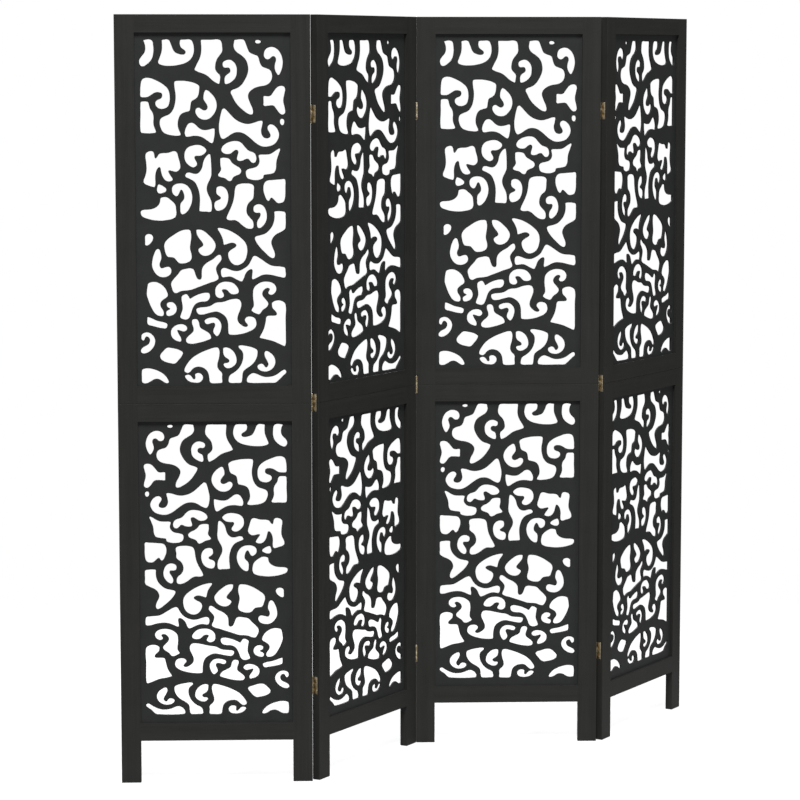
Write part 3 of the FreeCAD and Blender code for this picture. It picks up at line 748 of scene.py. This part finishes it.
def loose_parts(mesh):
    work = bmesh.new()
    work.from_mesh(mesh)
    bmesh.ops.remove_doubles(work, verts=work.verts, dist=merge_distance)
    waiting = dict.fromkeys(work.verts)
    parts = []
    while waiting:
        front_line = [next(iter(waiting))]
        waiting.pop(front_line[0])
        part = []
        while front_line:
            vertex = front_line.pop()
            part.append(vertex.co.copy())
            for edge in vertex.link_edges:
                other = edge.other_vert(vertex)
                if other in waiting:
                    waiting.pop(other)
                    front_line.append(other)
        parts.append(part)
    work.free()
    return parts


def head_place(part, along):
    """Middle of a screw's outer face, and the way that it faces."""
    ends = [point.dot(along) for point in part]
    middle_z = (max(point.z for point in part) + min(point.z for point in part)) / 2
    radius = max(point.z for point in part) - middle_z
    wide = [point for point in part if abs(point.z - middle_z) > radius * head_share]
    outward = along if wide[0].dot(along) * 2 > max(ends) + min(ends) else -along
    face_at = max(point.dot(outward) for point in part)
    face = [point for point in part if point.dot(outward) > face_at - merge_distance]
    side = outward.cross(Vector((0, 0, 1)))
    across = [point.dot(side) for point in face]
    centre = outward * face_at + side * ((max(across) + min(across)) / 2)
    return Vector((centre.x, centre.y, middle_z)), outward


def screw_places(number):
    along = panel_directions(number)[0]
    parts = loose_parts(nodes[f"panel_{number}_screws"].data)
    return [head_place(part, along) for part in parts]


print("screws found:", sum(len(screw_places(number)) for number in panel_numbers))

# %% [markdown]
# Screws of one panel move with it, so each panel gets one piece. A mesh of loose points carries the
# places and the axes, the tree makes the screws on them, and the result is kept as a plain mesh.

# %% Make the screws
for number in panel_numbers:
    node = f"panel_{number}_screws"
    places = screw_places(number)
    dots = bpy.data.meshes.new("screw_places")
    dots.from_pydata([place for place, outward in places], [], [])
    axes = dots.attributes.new("screw_axis", "FLOAT_VECTOR", "POINT")
    for value, (place, outward) in zip(axes.data, places):
        value.vector = outward
    maker = bpy.data.objects.new("screw_maker", dots)
    modifier = maker.modifiers.new("screws", "NODES")
    modifier.node_group = screw_tree
    modifier[screw_inputs["Seed"]] = first_seed + number
    modifier[screw_inputs["Finish"]] = screw_brass
    mesh = plain_mesh(maker, node + "_set")
    add_piece(mesh.name, mesh, f"panel_{number}", "brass", node)
    print(mesh.name, "screws:", len(places), "faces:", len(mesh.polygons))

# %% [markdown]
# ## Studio
# In the picture the screen stands on nothing but white. A backdrop would hide the screen from other
# sides, so the floor is a disc, pale and mostly see-through, that fades out towards its rim. It
# only holds a faint shadow under the legs, and throws little light up at the lower panels.

# %% Floor
floor_radius = 2.2
floor_depth = 0.0004
floor_cover = 0.3
fade_start, fade_end = 0.85, 2.1
floor_mesh = bpy.data.meshes.new("studio_floor")
work = bmesh.new()
bmesh.ops.create_circle(work, cap_ends=True, segments=128, radius=floor_radius,
                        matrix=Matrix.Translation((0, 0, -floor_depth)))
work.to_mesh(floor_mesh)
work.free()
floor_finish, tree, shader = new_finish("pale_floor")
shader.inputs["Base Color"].default_value = (0.9, 0.9, 0.9, 1)
shader.inputs["Roughness"].default_value = 0.8
shader.inputs["Specular IOR Level"].default_value = 0.1
place = add_node(tree, "ShaderNodeTexCoord")
reach = add_node(tree, "ShaderNodeVectorMath", operation="LENGTH")
tree.links.new(place.outputs["Object"], reach.inputs[0])
cover = spread(tree, reach.outputs["Value"], floor_cover, 0, fade_start, fade_end)
tree.links.new(cover, shader.inputs["Alpha"])
floor_mesh.materials.append(floor_finish)
floor = bpy.data.objects.new("studio_floor", floor_mesh)
scene.collection.objects.link(floor)
print("floor radius:", floor_radius)

# %% [markdown]
# The world stands for the white room. To the camera it is plain white, as in the picture. To the
# screen it is dimmer, or the paint would only mirror white all round and lose its depth. A Light
# Path node tells the two apart, so no second scene is needed.

# %% World
white = (1, 1, 1, 1)
room_strength = 0.185
scene.view_settings.view_transform = "Standard"
world = bpy.data.worlds.new("white_studio")
world.use_nodes = True
tree = world.node_tree
dim_room = tree.nodes["Background"]
dim_room.inputs["Color"].default_value = white
dim_room.inputs["Strength"].default_value = room_strength
white_wall = add_node(tree, "ShaderNodeBackground")
white_wall.inputs["Color"].default_value = white
seen = add_node(tree, "ShaderNodeLightPath")
either = add_node(tree, "ShaderNodeMixShader")
tree.links.new(seen.outputs["Is Camera Ray"], either.inputs["Fac"])
tree.links.new(dim_room.outputs["Background"], either.inputs[1])
tree.links.new(white_wall.outputs["Background"], either.inputs[2])
tree.links.new(either.outputs["Shader"], tree.nodes["World Output"].inputs["Surface"])
scene.world = world
print("world:", world.name)

# %% [markdown]
# The two panels that face the camera are the lightest, and each top rail leaves a shadow below it.
# So the main lamp stands high up on the camera's side. Two weak lamps in front lift the shadows,
# one beside the camera and one at the right, and two at the back light the other side of the
# screen. Small lamps would give hard shadows, so the lamps are wide discs. Their powers were set by
# comparing the tones of the boards with the picture.

# %% Soft lamps
aim_place = Vector((0, 0, 0.8))


def soft_lamp(name, place, power, size):
    lamp_data = bpy.data.lights.new(name, "AREA")
    lamp_data.shape = "DISK"
    lamp_data.size = size
    lamp_data.energy = power
    lamp = bpy.data.objects.new(name, lamp_data)
    lamp.location = place
    aim = aim_place - Vector(place)
    lamp.rotation_euler = aim.to_track_quat("-Z", "Y").to_euler()
    scene.collection.objects.link(lamp)


soft_lamp("front_lamp", (-2.8, -4.7, 9.2), 1700, 4)
soft_lamp("camera_lamp", (-3.1, -5.2, 0.9), 42, 3)
soft_lamp("right_lamp", (3.2, -4.8, 1.4), 95, 3)
soft_lamp("back_lamp", (1.8, 6.2, 4.6), 800, 4)
soft_lamp("left_back_lamp", (-3.4, 4.6, 1.5), 90, 3)
print("lamps:", [item.name for item in bpy.data.lights])
